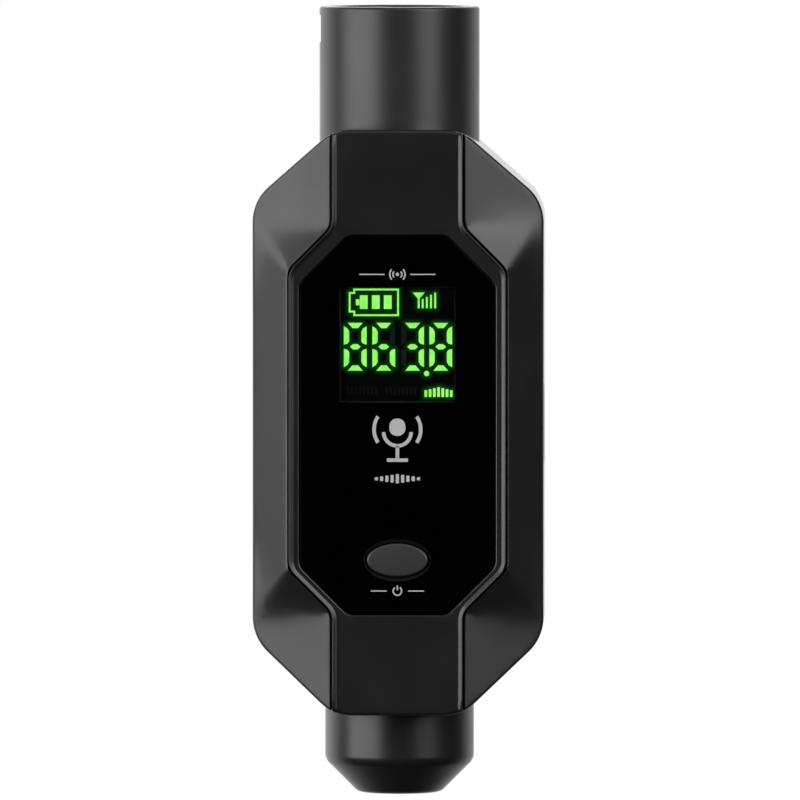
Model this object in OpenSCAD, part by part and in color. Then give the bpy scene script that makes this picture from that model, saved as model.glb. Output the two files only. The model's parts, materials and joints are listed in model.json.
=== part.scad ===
// Plug-on wireless microphone receiver.
// A handheld body with a male three-pin audio plug on top and an aerial cap below.
// Frame: the origin is the centre of the plug's mating rim, +Z runs out of the plug,
// the display faces -Y and +X is to the right of someone reading it.

/* [Body] */
// Width across the side walls
body_w = 34.4; // [34:0.1:36]
// Length from the plug's shoulder to the lower end
body_len = 69.1; // [68.5:0.1:70]
// Corner cut, measured across the width
cut_w = 9.65; // [9.45:0.05:9.8]
// Corner cut at the plug end, measured along the length
cut_top = 8.5; // [8.3:0.1:8.8]
// Corner cut at the aerial end, measured along the length
cut_bottom = 9; // [8.8:0.1:9.2]
// Rounding of the corners of the outline
corner_r = 5.5; // [4.5:0.1:6]
// Depth from the parting plane to the front of the fascia
front_depth = 13; // [13:0.1:13.5]
// Depth from the parting plane to the flat back
rear_depth = 12.5; // [12.3:0.1:13]
// Chamfer round the back
rear_chamfer = 2.5; // [2:0.1:3]
// How far the front facets fall from the fascia to the side walls
facet_drop = 4; // [3.5:0.1:4.3]
// Fall of the four corner facets for each millimetre away from the fascia
corner_slope = 0.57; // [0.54:0.01:0.64]
// Wall thickness of the two shells
wall = 1.6; // [1.5:0.1:1.8]

/* [Fascia and lens] */
// Width of the fascia at the two ends
spine_w = 15.4; // [15:0.1:16]
// Width of the fascia beside the lens
mid_w = 25.6; // [25.4:0.1:26]
// Length of the wide middle of the fascia
mid_len = 45.3; // [45:0.1:46]
// How far the middle of the fascia sits above the middle of the body
mid_shift = 0.35; // [0:0.05:0.5]
// Thickness of the fascia
fascia_t = 2.3; // [2.2:0.1:2.5]
// Height of the raised margins along the fascia's sides
margin_h = 0.25; // [0.15:0.05:0.3]
// Shadow gap round the fascia
seam = 0.15; // [0.1:0.01:0.2]
// Width of the lens
lens_w = 23; // [22.6:0.1:23.2]
// Length of the lens
lens_len = 44.7; // [44:0.1:45]
// Corner cut of the lens
lens_cut = 5.7; // [5:0.1:6]
// Thickness of the lens
lens_t = 0.95; // [0.8:0.05:1.1]
// Side of the square display window
window = 13.7; // [13.4:0.1:14]
// Height of the display's centre
window_z = -39.7; // [-40.5:0.1:-39]

/* [Plug] */
// Outside diameter of the plug's shell
plug_d = 19; // [19:0.1:19.2]
// Inside diameter of the plug's shell
plug_bore = 16; // [15.8:0.1:16]
// Length of the shell in front of the body
plug_len = 14.4; // [14:0.1:15]
// Depth from the rim to the insert's face
insert_depth = 13; // [12.5:0.1:13.2]
// Diameter of a contact pin
contact_d = 2.4; // [2.3:0.1:2.5]
// Distance from the rim to a contact pin's tip
contact_recess = 1.6; // [1.2:0.1:2.4]

/* [Aerial cap] */
// Diameter of the cap
tail_d = 17.7; // [17.4:0.1:17.8]
// Length of the cap below the body
tail_len = 9.8; // [9.4:0.1:10.2]
// Length of the cap's 45 degree nose
tail_nose = 3.9; // [3.6:0.1:4.2]

/* [Power button] */
// Width of the oval button
button_w = 7.2; // [6.8:0.1:7.4]
// Height of the oval button
button_h = 3.9; // [3.6:0.1:4]
// Height of the button's centre
button_z = -65.1; // [-65.6:0.1:-64.6]
// How far the button stands out of the lens
button_proud = 0.35; // [0.2:0.05:0.5]
// Travel of the button
travel = 0.3; // [0.2:0.05:0.3]

/* [Electronics] */
// Front face of the main board
board_front = -6.5; // [-6.6:0.1:-6.4]
// Thickness of the main board
board_t = 1.2; // [1:0.1:1.4]
// Width of the battery cell
battery_w = 22; // [20:0.5:23]
// Length of the battery cell
battery_len = 33; // [30:0.5:34]
// Thickness of the battery cell
battery_t = 7.4; // [6:0.1:7.6]

/* [Hidden] */
$fn = 48;

eps = 0.01;
body_top = -plug_len;
body_bottom = body_top - body_len;
body_mid = (body_top + body_bottom) / 2;
mid_z = body_mid + mid_shift;
lens_z = body_mid - 0.25;
mid_cut = (mid_w - spine_w) / 2 - 0.1;

// Depths, from the front backwards
lens_r = 1.7;
lens_gap = 0.08;
lens_front = -front_depth + margin_h;
lens_back = lens_front + lens_t;
tape_t = 0.15;
fascia_floor = lens_back + tape_t;
pocket_floor = -front_depth + fascia_t;
margin_w = 0.35;
inner_corner_r = 2.2;
outer_corner_r = 2.5;
front_inside = pocket_floor + wall;
shoulder_y = -front_depth + 0.5;
edge_y = shoulder_y + facet_drop;
board_back = board_front + board_t;
rear_inside = rear_depth - wall;

// The lip that lines the two shells up
lip_t = 0.7;
lip_h = 1.2;
lip_gap = 0.08;

// Plug and aerial cap inside the body
plug_collar = [-19.9, -21.9];
plug_end = -23.8;
barrel_r = plug_d / 2;
bore_r = plug_bore / 2;
neck_r = barrel_r - 0.2;
plug_step_r = 7;
rim_in = 0.4;
rim_out = 0.5;
key_w = 2.2;
key_h = 1.1;
key_depth = 5.5;
latch_w = 4;
latch_z = [-1, -4.3];
plug_ear_r = 11;
plug_tail_r = 8.4;
tail_top = body_bottom + 3.3;
tail_collar = [tail_top + 1.6, tail_top];
tail_ear_r = 9.8;
cap_wall = 1.4;
ear_h = 12;
cradle_over = 1.6;
grip_gap = 0.05;

// Helical aerial inside the cap
coil_turns = 4;
coil_r = 4;
coil_pitch = 2;
coil_low = body_bottom - 6.6;
wire_r = 0.4;
aerial_pad_z = -75.6;

// Contacts stand on a circle, with the single one opposite the key on the -X side
contact_circle = 4.055;
contact_angles = [110, 250, 0];
contact_foot_r = 1;
contact_foot = 3;
cup_r = 0.65;
cup_depth = 1.5;
insert_back = -19;
audio_pad_z = [-30.5, -26.2, -28.4];

// Display module
glass_w = window + 0.6;
glass_gap = 0.3;
glass_y = [-11.5, -10.4];
frame_w = glass_w + 1.2;
frame_step = front_inside + 0.5;
pin_pitch = 1.8;
pin_row = 6.5;
pin_r = 0.25;

// Button and switch
hole_gap = 0.4;
flange_y = [front_inside + 0.06, front_inside + 0.66];
flange_w = 1.1;
switch_top = board_front - 1;
switch_w = 4.6;
plunger_r = 1;
plunger_tip = switch_top - travel - 0.1;
plunger_collar_r = 1.4;
plunger_collar = [switch_top + 0.3, switch_top + 0.5];

// Screws
case_screw_x = 12.5;
case_screw_z = [-28.4, -70.2];
case_head_y = 4;
case_boss_r = 2.6;
case_shank_r = 1;
case_shank_len = 10.5;
case_head_r = 1.9;
case_well_r = 2.1;
board_screw_x = 7.6;
board_screw_z = [-27.3, -74.6];
board_post_r = 1.9;
board_shank_r = 0.8;
board_screw_bite = 2.1;
board_head_r = 1.5;

// USB socket in the right-hand wall
usb_w = 8.94;
usb_t = 3.2;
usb_z = -49.4;
usb_r = 1.1;
usb_gap = 0.15;
usb_sheet = 0.3;
usb_floor = 0.8;
usb_out = 16.4;
usb_in = 9.1;
usb_y = board_back + usb_t / 2;

ground_x = -6.4;
ground_size = [1.5, 0.3, 2.2];

board_half = 9.7;
board_top = -25;
board_bottom = -76.6;
battery_z = -49.6;
battery_r = 1.5;
battery_back = rear_inside - 0.3;
radio_z = -67.2;
radio_t = 0.8;
can_h = 1.9;
battery_plug_z = -31;
battery_plug_h = 2.8;
label_size = [17, 24];
label_r = 1;
label_t = 0.15;
label_recess = 0.25;
label_z = -45;

// ---- Shapes drawn in the X-Z plane ----

// Extrudes a drawing in X and Z between two depths
module plate(y0, y1)
    translate([0, y1, 0]) rotate([90, 0, 0]) linear_extrude(y1 - y0) children();

// A circle on the Y axis
module y_cylinder(y0, y1, r)
    translate([0, y0, 0]) rotate([-90, 0, 0]) cylinder(r = r, h = y1 - y0);

// Outline of the body, pulled in by inset
module outline(inset = 0)
    offset(r = corner_r - inset) offset(delta = -corner_r) polygon([
        [-body_w / 2, body_top - cut_top], [-body_w / 2 + cut_w, body_top],
        [body_w / 2 - cut_w, body_top], [body_w / 2, body_top - cut_top],
        [body_w / 2, body_bottom + cut_bottom], [body_w / 2 - cut_w, body_bottom],
        [-body_w / 2 + cut_w, body_bottom], [-body_w / 2, body_bottom + cut_bottom]
    ]);

// A rectangle with its four corners cut at 45 degrees
module octagon(w, h, cut)
    polygon([
        [-w / 2, h / 2 - cut], [-w / 2 + cut, h / 2], [w / 2 - cut, h / 2], [w / 2, h / 2 - cut],
        [w / 2, -h / 2 + cut], [w / 2 - cut, -h / 2], [-w / 2 + cut, -h / 2], [-w / 2, -h / 2 + cut]
    ]);

// The wide middle of the fascia, grown by grow
module middle(grow = 0)
    translate([0, mid_z]) offset(delta = grow) octagon(mid_w, mid_len, mid_cut);

// The whole fascia, a spine with a wide middle, grown by grow
module fascia_shape(grow = 0)
    offset(r = outer_corner_r) offset(delta = -outer_corner_r)
        offset(r = -inner_corner_r) offset(delta = inner_corner_r + grow) union() {
            translate([0, body_mid]) square([spine_w, body_len + 8], center = true);
            middle();
        }

// Outline of the lens, grown by grow
module lens_shape(grow = 0)
    translate([0, lens_z]) offset(r = lens_r + grow) offset(delta = -lens_r)
        octagon(lens_w, lens_len, lens_cut);

// The oval of the power button, grown by grow
module button_shape(grow = 0)
    translate([0, button_z]) scale([button_w / 2 + grow, button_h / 2 + grow]) circle(r = 1);

// The square of the display, w on each side
module window_shape(w) translate([0, window_z]) square(w, center = true);

// ---- Casing ----

// The faceted front, before it is hollowed: a ridge along the spine, and a taper round the wide middle
module front_form() {
    translate([0, 0, body_bottom]) linear_extrude(body_len) polygon([
        [-body_w / 2, 0], [-body_w / 2, edge_y], [-spine_w / 2 - seam, shoulder_y],
        [spine_w / 2 + seam, shoulder_y], [body_w / 2, edge_y], [body_w / 2, 0]
    ]);
    foot_cut = (body_w - spine_w) / 2;
    foot_corner = (mid_w + mid_len - body_w) / 2 - mid_cut + sqrt(2) * (seam + facet_drop / corner_slope);
    hull() {
        plate(shoulder_y, shoulder_y + eps) middle(seam);
        plate(edge_y, edge_y + eps) translate([0, mid_z])
            octagon(body_w, 2 * (foot_corner + foot_cut), foot_cut);
    }
}

// Space for the plug's neck, its ears and its rear section
module plug_space(gap = 0) {
    translate([0, 0, plug_collar[1] - gap]) cylinder(r = neck_r + gap, h = gap - plug_collar[1]);
    ears(plug_collar, plug_ear_r, gap);
    translate([0, 0, plug_end - 1]) cylinder(r = plug_tail_r + gap, h = plug_collar[1] - plug_end + 1);
}

// Space for the aerial cap and its ears
module tail_space(gap = 0) {
    low = body_bottom - 1;
    translate([0, 0, low]) cylinder(r = tail_d / 2 + gap, h = tail_collar[0] + gap - low);
    ears(tail_collar, tail_ear_r, gap);
}

// Two ears that stop a round part turning or sliding in the shells
module ears(span, r, gap = 0)
    intersection() {
        translate([0, 0, span[1] - gap]) cylinder(r = r + gap, h = span[0] - span[1] + 2 * gap);
        translate([0, 0, (span[0] + span[1]) / 2])
            cube([3 * r, ear_h + 2 * gap, 2 * (span[0] - span[1])], center = true);
    }

// Solid blocks behind the two ends that hold the plug and the cap
module cradles(y0, y1) {
    plug_high = plug_collar[0] + cradle_over;
    translate([-body_w / 2, y0, plug_end]) cube([body_w, y1 - y0, plug_high - plug_end]);
    tail_high = tail_collar[0];
    tail_low = tail_collar[1] - cradle_over;
    translate([-body_w / 2, y0, tail_low]) cube([body_w, y1 - y0, tail_high - tail_low]);
}

// Places its children at each case screw
module at_case_screws()
    for (side = [-1, 1], z = case_screw_z) translate([side * case_screw_x, 0, z]) children();

// Places its children at each board screw
module at_board_screws()
    for (side = [-1, 1], z = board_screw_z) translate([side * board_screw_x, 0, z]) children();

module front_shell() color("#1c1c1e")
    difference() {
        union() {
            difference() {
                intersection() {
                    plate(-front_depth, 0) outline();
                    front_form();
                }
                intersection() {
                    plate(front_inside, eps) outline(wall);
                    translate([0, 1.1 * wall, 0]) front_form();
                }
            }
            intersection() {
                plate(front_inside - eps, 0) outline(wall / 2);
                cradles(front_inside - eps, 0);
            }
            at_case_screws() y_cylinder(front_inside - eps, 0, case_boss_r);
            at_board_screws() y_cylinder(front_inside - eps, board_front, board_post_r);
        }
        plate(-front_depth - 1, pocket_floor) fascia_shape(seam);
        plate(pocket_floor - 1, front_inside + 1) window_shape(glass_w + glass_gap);
        plate(pocket_floor - 1, front_inside + 1) button_shape(hole_gap);
        plate(-lip_h - lip_gap, 1) difference() {
            outline(wall - lip_t - lip_gap);
            outline(wall + 0.5);
        }
        plug_space(grip_gap);
        tail_space(grip_gap);
        at_case_screws() y_cylinder(case_head_y - case_shank_len - 0.5, 1, case_shank_r);
        at_board_screws() y_cylinder(board_front - board_screw_bite - 0.1, board_front + 1, board_shank_r);
        usb_opening();
    }

// The slot in the side wall round the USB socket
module usb_opening()
    usb_slab(usb_out - 2.6, body_w / 2 + 1, usb_w + 2 * usb_gap, usb_t + 2 * usb_gap, usb_r + 0.1);

module rear_shell() color("#19191b")
    difference() {
        union() {
            difference() {
                hull() {
                    plate(0, rear_depth - rear_chamfer) outline();
                    plate(rear_depth - eps, rear_depth) outline(rear_chamfer);
                }
                hull() {
                    plate(-eps, rear_inside - rear_chamfer) outline(wall);
                    plate(rear_inside - eps, rear_inside) outline(rear_chamfer + wall / 2);
                }
            }
            intersection() {
                plate(0, rear_inside + eps) outline(wall / 2);
                cradles(0, rear_inside + eps);
            }
            plate(-lip_h, eps) difference() {
                outline(wall - lip_t);
                outline(wall);
            }
            at_case_screws() y_cylinder(0, rear_inside + eps, case_boss_r + 0.3);
        }
        plug_space(grip_gap);
        tail_space(grip_gap);
        at_case_screws() y_cylinder(-2, rear_depth, case_shank_r + 0.15);
        at_case_screws() y_cylinder(case_head_y, rear_depth + 1, case_well_r);
        plate(rear_depth - label_recess, rear_depth + 1)
            translate([0, label_z]) square([label_size[0] + 0.4, label_size[1] + 0.4], center = true);
    }

module front_fascia() color("#1f1f21")
    difference() {
        plate(-front_depth, pocket_floor) intersection() {
            fascia_shape();
            outline();
        }
        plate(-front_depth - 1, -front_depth + margin_h) fascia_shape(-margin_w);
        plate(-front_depth - 1, fascia_floor) lens_shape(lens_gap);
        plate(fascia_floor - 1, pocket_floor + 1) window_shape(glass_w + glass_gap);
        plate(fascia_floor - 1, pocket_floor + 1) button_shape(hole_gap);
    }

module display_lens() color("#050506")
    plate(lens_front, lens_back) difference() {
        lens_shape();
        button_shape(hole_gap);
    }

module lens_adhesive() color("#303030")
    plate(lens_back, fascia_floor) difference() {
        lens_shape(-0.6);
        window_shape(glass_w + 2 * glass_gap);
        button_shape(hole_gap + 0.6);
    }

module rear_label() color("#2a2a2c")
    plate(rear_depth - label_recess, rear_depth - label_recess + label_t)
        translate([0, label_z]) offset(r = label_r)
            square([label_size[0] - 2 * label_r, label_size[1] - 2 * label_r], center = true);

// A cross-recessed screw driven towards -Y, with its head resting at y = 0
module screw(shank_r, shank_len, head_r, head_h)
    difference() {
        union() {
            y_cylinder(-shank_len, eps, shank_r);
            y_cylinder(0, head_h, head_r);
        }
        slot = [head_r * 1.2, head_h, head_r * 0.24];
        for (turn = [0, 90]) rotate([0, turn, 0])
            translate([-slot[0] / 2, head_h * 0.45, -slot[2] / 2]) cube(slot);
    }

module case_screws() color("#2b2b2e")
    at_case_screws() translate([0, case_head_y, 0]) screw(case_shank_r, case_shank_len, case_head_r, 1.4);

module board_screws() color("#b9b9bd")
    at_board_screws() translate([0, board_back, 0])
        screw(board_shank_r, board_t + board_screw_bite, board_head_r, 0.9);

// ---- Plug ----

module xlr_shell() color("#202022")
    difference() {
        union() {
            rotate_extrude($fn = 96) polygon([
                [bore_r, -rim_in], [bore_r + rim_in, 0], [barrel_r - rim_out, 0], [barrel_r, -rim_out],
                [barrel_r, body_top], [neck_r, body_top], [neck_r, plug_collar[1]],
                [plug_tail_r, plug_collar[1]], [plug_tail_r, plug_end],
                [plug_step_r, plug_end], [plug_step_r, insert_back], [bore_r, insert_back]
            ]);
            difference() {
                ears(plug_collar, plug_ear_r);
                translate([0, 0, plug_end]) cylinder(r = neck_r - 0.5, h = 10);
            }
            translate([-bore_r - 0.5, -key_w / 2, -insert_depth])
                cube([key_h + 0.5, key_w, insert_depth - key_depth]);
        }
        latch_window();
    }

// The window near the rim that a socket's latch drops into
module latch_window()
    translate([-barrel_r - 1, -latch_w / 2, latch_z[1]]) cube([3, latch_w, latch_z[0] - latch_z[1]]);

module xlr_insert() color("#101011")
    difference() {
        translate([0, 0, insert_back]) cylinder(r = plug_bore / 2, h = -insert_back - insert_depth);
        for (turn = contact_angles) rotate([0, 0, turn])
            translate([contact_circle, 0, insert_back - 1]) cylinder(r = contact_foot_r, h = 10);
    }

// One round contact: a smooth pin with a domed tip, a thinner foot and a solder cup
module contact_pin(turn) color("#c9c9cc")
    rotate([0, 0, turn]) translate([contact_circle, 0, 0]) difference() {
        r = contact_d / 2;
        union() {
            translate([0, 0, -insert_depth]) cylinder(r = r, h = insert_depth - contact_recess - r);
            translate([0, 0, -contact_recess - r]) sphere(r = r);
            translate([0, 0, insert_back - contact_foot])
                cylinder(r = contact_foot_r, h = contact_foot - insert_back - insert_depth);
        }
        translate([0, 0, insert_back - contact_foot - 1]) cylinder(r = cup_r, h = cup_depth + 1);
    }

module contact_pin_1() contact_pin(contact_angles[0]);
module contact_pin_2() contact_pin(contact_angles[1]);
module contact_pin_3() contact_pin(contact_angles[2]);

// A strip from the back of the plug's shell to the board, which earths the shell
module ground_tab() color("#c7b27a")
    translate([ground_x, board_back, plug_end - ground_size[2]]) cube(ground_size);

// ---- Aerial end ----

module antenna_cap() color("#1a1a1c") {
    r = tail_d / 2;
    t = cap_wall;
    low = body_bottom - tail_len;
    nose = low + tail_nose;
    rotate_extrude($fn = 96) polygon([
        [r - t, tail_collar[0]], [r, tail_collar[0]], [r, nose], [r - tail_nose, low],
        [0, low], [0, low + t], [r - tail_nose - 0.6, low + t], [r - t, nose + 0.6]
    ]);
    difference() {
        ears(tail_collar, tail_ear_r);
        translate([0, 0, tail_collar[1] - 1]) cylinder(r = r - t / 2, h = 4);
    }
}

// A helical aerial, one round wire wound at an even pitch
module antenna_coil() color("#c98a4a") {
    steps = 16;
    sides = 6;
    rings = coil_turns * steps;
    points = [for (i = [0 : rings], j = [0 : sides - 1])
        let (turn = 360 * i / steps, a = 360 * j / sides, r = coil_r + wire_r * cos(a))
        [r * cos(turn), r * sin(turn), coil_low + coil_pitch * i / steps + wire_r * sin(a)]];
    skin = [for (i = [0 : rings - 1], j = [0 : sides - 1])
        let (k = (j + 1) % sides)
        [i * sides + j, i * sides + k, (i + 1) * sides + k, (i + 1) * sides + j]];
    ends = [[for (j = [sides - 1 : -1 : 0]) j], [for (j = [0 : sides - 1]) rings * sides + j]];
    polyhedron(points, concat(skin, ends));
}

// The lead from the aerial's feed to the board
module antenna_lead() color("#8c8c90")
    translate([coil_r, 0, 0])
        lead(0.45, coil_low + coil_turns * coil_pitch + wire_r, aerial_pad_z, 0, board_back, 1.2);

// A lead in a Y-Z plane: straight along Z from z0, a quarter bend at z1, then along Y to y1
module lead(r, z0, z1, y0, y1, bend) {
    up = sign(z1 - z0);
    over = sign(y1 - y0);
    first = over < 0 ? (up < 0 ? -90 : 0) : (up < 0 ? 180 : 90);
    turn_y = y0 + over * bend;
    turn_z = z1 - up * bend;
    translate([0, y0, min(z0, turn_z)]) cylinder(r = r, h = abs(turn_z - z0));
    translate([0, turn_y, turn_z]) rotate([90, 0, 90]) rotate([0, 0, first])
        rotate_extrude(angle = 90) translate([bend, 0]) circle(r = r, $fn = 24);
    translate([0, 0, z1]) y_cylinder(min(turn_y, y1), max(turn_y, y1), r);
}

// ---- Display ----

module display_glass() color("#1b1d1c")
    plate(glass_y[0], glass_y[1]) window_shape(glass_w);

module display_frame() color("#141415") {
    plate(glass_y[1], frame_step) window_shape(glass_w);
    plate(frame_step, board_front) window_shape(frame_w);
}

module display_gasket() color("#2c2c2e")
    plate(front_inside, frame_step) difference() {
        window_shape(frame_w + 1);
        window_shape(glass_w + glass_gap);
    }

// Two rows of seven pins, or of the holes they stand in
module display_pin_rows(y0, y1)
    for (side = [-1, 1], n = [-3 : 3])
        translate([n * pin_pitch, 0, window_z + side * pin_row]) y_cylinder(y0, y1, pin_r);

module display_pins() color("#c9c9cc") display_pin_rows(board_front, board_back + 0.6);

// ---- Power button ----

module power_button() color("#3a3a3c") {
    plate(lens_front - button_proud, flange_y[0]) button_shape();
    plate(flange_y[0], flange_y[1]) button_shape(flange_w);
    translate([0, 0, button_z]) y_cylinder(flange_y[1], plunger_tip - 0.02, 1.3);
}

module switch_body() color("#8f8f93")
    difference() {
        plate(switch_top, board_front) translate([0, button_z]) square(switch_w, center = true);
        translate([0, 0, button_z]) {
            y_cylinder(switch_top - 1, plunger_collar[1], plunger_r + 0.05);
            y_cylinder(plunger_collar[0] - 0.05, plunger_collar[1] + travel + 0.1, plunger_collar_r + 0.1);
        }
    }

module switch_plunger() color("#d8d8da")
    translate([0, 0, button_z]) {
        y_cylinder(plunger_tip, plunger_collar[1], plunger_r);
        y_cylinder(plunger_collar[0], plunger_collar[1], plunger_collar_r);
    }

// ---- Main board ----

module main_board() color("#1d5a34")
    difference() {
        plate(board_front, board_back) union() {
            translate([-board_half, board_bottom]) square([2 * board_half, board_top - board_bottom]);
            translate([0, usb_z - 6]) square([usb_out - 2.8, 12]);
        }
        at_board_screws() y_cylinder(board_front - 1, board_back + 1, board_shank_r + 0.15);
        display_pin_rows(board_front - 1, board_back + 1);
    }

// A flat chip on the back of the board, w wide, h high and t thick
module chip(x, z, w, h, t)
    translate([x - w / 2, board_back, z - h / 2]) cube([w, t, h]);

module controller_chip() color("#151516") chip(-3.5, -40, 7, 7, 0.9);
module codec_chip() color("#151516") chip(5.4, -39.7, 5, 5, 0.9);
module charger_chip() color("#151516") chip(4.8, -49.4, 3, 3, 0.8);
module clock_crystal() color("#b8b8bc") chip(-3.5, -48.5, 3.2, 2.5, 0.7);

module capacitors() color("#b89a6a")
    for (column = [0, 1], row = [0 : 2]) chip(-6.5 + 3 * column, -52.6 - 1.7 * row, 1.6, 0.8, 0.8);

module resistors() color("#262628")
    for (row = [0 : 5]) chip(-8, -36 - 2.2 * row, 1, 1.6, 0.45);

module receiver_module() color("#1b4f68")
    difference() {
        chip(0, radio_z, 16, 11.6, radio_t);
        at_board_screws() y_cylinder(board_back - 1, board_back + 3, board_head_r + 0.2);
    }

module rf_shield_can() color("#b4b4b8")
    difference() {
        chip(0, radio_z, 13, 8.6, radio_t + can_h);
        chip(0, radio_z, 12.6, 8.2, radio_t + can_h - 0.2);
        chip(0, radio_z, 14, 9, radio_t);
    }

// ---- USB socket ----

// A rounded slab lying along X, w across and t thick
module usb_slab(x0, x1, w, t, r)
    translate([x0, usb_y, usb_z]) rotate([90, 0, 90]) linear_extrude(x1 - x0)
        offset(r = r) square([t - 2 * r, w - 2 * r], center = true);

module usb_port_shell() color("#c4c4c8")
    difference() {
        usb_slab(usb_in, usb_out, usb_w, usb_t, usb_r);
        usb_slab(usb_in + usb_floor, usb_out + 1, usb_w - 2 * usb_sheet, usb_t - 2 * usb_sheet,
            usb_r - 0.2);
    }

module usb_port_tongue() color("#161617")
    usb_slab(usb_in + usb_floor, usb_out - 0.8, 6.7, 0.7, 0.2);

// ---- Battery and wiring ----

module battery_cell() color("#a8abb0")
    plate(battery_back - battery_t, battery_back) translate([0, battery_z])
        offset(r = battery_r)
            square([battery_w - 2 * battery_r, battery_len - 2 * battery_r], center = true);

module battery_pad() color("#e6e2d8")
    plate(battery_back, rear_inside) translate([0, battery_z]) square([14, 24], center = true);

module battery_plug() color("#e8e5dc")
    chip(-6.9, battery_plug_z, 5, 3.6, battery_plug_h);

// Two leads from the cell's upper end to the plug on the board
module battery_leads() color("#b3262a")
    for (x = [-7.9, -5.9])
        translate([x, 0, 0])
            lead(0.5, battery_z + battery_len / 2, battery_plug_z, battery_back - battery_t / 2,
                board_back + battery_plug_h, 1.1);

// Three leads from the contacts' solder cups to the upper end of the board, each to the nearest 0.01 mm
module audio_leads() color("#d9d9dc")
    for (n = [0 : 2]) {
        turn = contact_angles[n];
        y = round(100 * contact_circle * sin(turn)) / 100;
        z = audio_pad_z[n];
        translate([contact_circle * cos(turn), 0, 0])
            lead(0.5, insert_back - contact_foot + cup_depth, z, y, board_back, 1.2);
    }

front_shell();
rear_shell();
front_fascia();
display_lens();
lens_adhesive();
power_button();
xlr_shell();
xlr_insert();
contact_pin_1();
contact_pin_2();
contact_pin_3();
ground_tab();
antenna_cap();
antenna_coil();
antenna_lead();
display_glass();
display_frame();
display_pins();
display_gasket();
switch_body();
switch_plunger();
main_board();
board_screws();
case_screws();
controller_chip();
codec_chip();
charger_chip();
clock_crystal();
capacitors();
resistors();
receiver_module();
rf_shield_can();
usb_port_shell();
usb_port_tongue();
battery_cell();
battery_pad();
battery_plug();
battery_leads();
audio_leads();
rear_label();
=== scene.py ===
"""Looks of a plug-on wireless receiver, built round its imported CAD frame.

Shapes are worked out in millimetres in the frame's own axes: +Z out of the plug, the display facing -Y,
+X to the right of someone reading it. They are written to meshes in metres.
"""

import json
import math

import bmesh
import bpy
import numpy as np
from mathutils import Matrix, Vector
from mathutils.geometry import delaunay_2d_cdt


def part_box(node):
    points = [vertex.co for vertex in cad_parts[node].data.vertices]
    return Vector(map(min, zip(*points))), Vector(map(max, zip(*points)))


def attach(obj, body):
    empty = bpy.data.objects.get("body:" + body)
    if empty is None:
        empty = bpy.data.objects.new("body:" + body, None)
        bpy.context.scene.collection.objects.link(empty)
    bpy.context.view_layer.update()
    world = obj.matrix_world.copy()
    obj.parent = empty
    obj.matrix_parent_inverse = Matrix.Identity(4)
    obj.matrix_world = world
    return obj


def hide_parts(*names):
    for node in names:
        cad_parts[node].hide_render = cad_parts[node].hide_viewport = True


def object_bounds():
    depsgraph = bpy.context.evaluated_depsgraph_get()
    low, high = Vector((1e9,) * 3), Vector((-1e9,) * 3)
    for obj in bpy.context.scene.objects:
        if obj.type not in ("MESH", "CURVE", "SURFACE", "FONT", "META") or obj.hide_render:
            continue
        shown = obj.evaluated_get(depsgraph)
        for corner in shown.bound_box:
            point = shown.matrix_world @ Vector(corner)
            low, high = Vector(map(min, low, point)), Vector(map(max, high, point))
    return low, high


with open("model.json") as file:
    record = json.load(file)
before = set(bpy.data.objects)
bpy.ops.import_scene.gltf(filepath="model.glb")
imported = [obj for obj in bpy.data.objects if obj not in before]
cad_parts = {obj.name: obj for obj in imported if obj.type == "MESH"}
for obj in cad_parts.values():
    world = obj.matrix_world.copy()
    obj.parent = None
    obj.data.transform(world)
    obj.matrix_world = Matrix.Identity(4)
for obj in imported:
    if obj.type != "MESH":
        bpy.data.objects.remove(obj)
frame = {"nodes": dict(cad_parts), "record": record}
cad_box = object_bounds()

MM = 0.001
WELD = 1e-6
SLIVER = 8 * WELD


def box(node):
    """Lowest and highest corner of a CAD node, in millimetres."""
    low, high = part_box(node)
    return np.array(low) / MM, np.array(high) / MM


# ---- Sizes ----

# Casing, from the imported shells
shell_low, shell_high = box("front_shell")
HALF_W = shell_high[0]
TOP = shell_high[2]
BOTTOM = shell_low[2]
SHOULDER = shell_low[1]
BACK = box("rear_shell")[1][1]
CUT_W = 9.65
CUT_TOP = 8.5
CUT_BOTTOM = 9.0
CORNER_R = 5.5
WALL = 1.6
LIP_H = 1.2
EDGE_R = 0.3
PARTING_R = 0.12
REAR_CHAMFER = 2.5

# Facets of the front
FACET_DROP = 4.0
CORNER_SLOPE = 0.57
BLEND = 1.1

# Fascia
fascia_low, fascia_high = box("front_fascia")
FRONT = fascia_low[1]
POCKET = fascia_high[1]
MID_HALF = fascia_high[0]
SPINE_HALF = 7.7
END_R = 0.45
MID_Z = -48.6
MID_CORNER = 17.6
INNER_R = 2.2
OUTER_R = 2.5
SEAM = 0.15
SEAM_R = 0.2
SEAM_TRIM = 0.035
MARGIN_H = 0.25
MARGIN_W = 0.55
CREST = 0.08
INSIDE = POCKET + WALL

# Lens, window and button
lens_low, lens_high = box("display_lens")
LENS_CUT = 5.7
LENS_R = 1.7
LENS_CHAMFER = 0.06
LENS_FLOOR = box("lens_adhesive")[1][1]
LENS_FRONT = FRONT + MARGIN_H
glass_low, glass_high = box("display_glass")
WINDOW_Z = (glass_low[2] + glass_high[2]) / 2
WINDOW_HALF = glass_high[0] - 0.3
GLASS_HOLE = glass_high[0] + 0.15
button_low, button_high = box("power_button")
FLANGE = 1.1
FLANGE_FRONT = SHOULDER + 3.46
FLANGE_BACK = SHOULDER + 4.06
KEY_RIM = 0.26
KEY_DOME = 0.08
FOOT_R = 1.3
BUTTON_W = button_high[0] - FLANGE
BUTTON_H = (button_high[2] - button_low[2]) / 2 - FLANGE
BUTTON_Z = (button_low[2] + button_high[2]) / 2
HOLE_GAP = 0.4
HOLE_TIGHT = 0.14
HOLE_TALL = 0.54
HOLE_CHAMFER = 0.35

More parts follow.
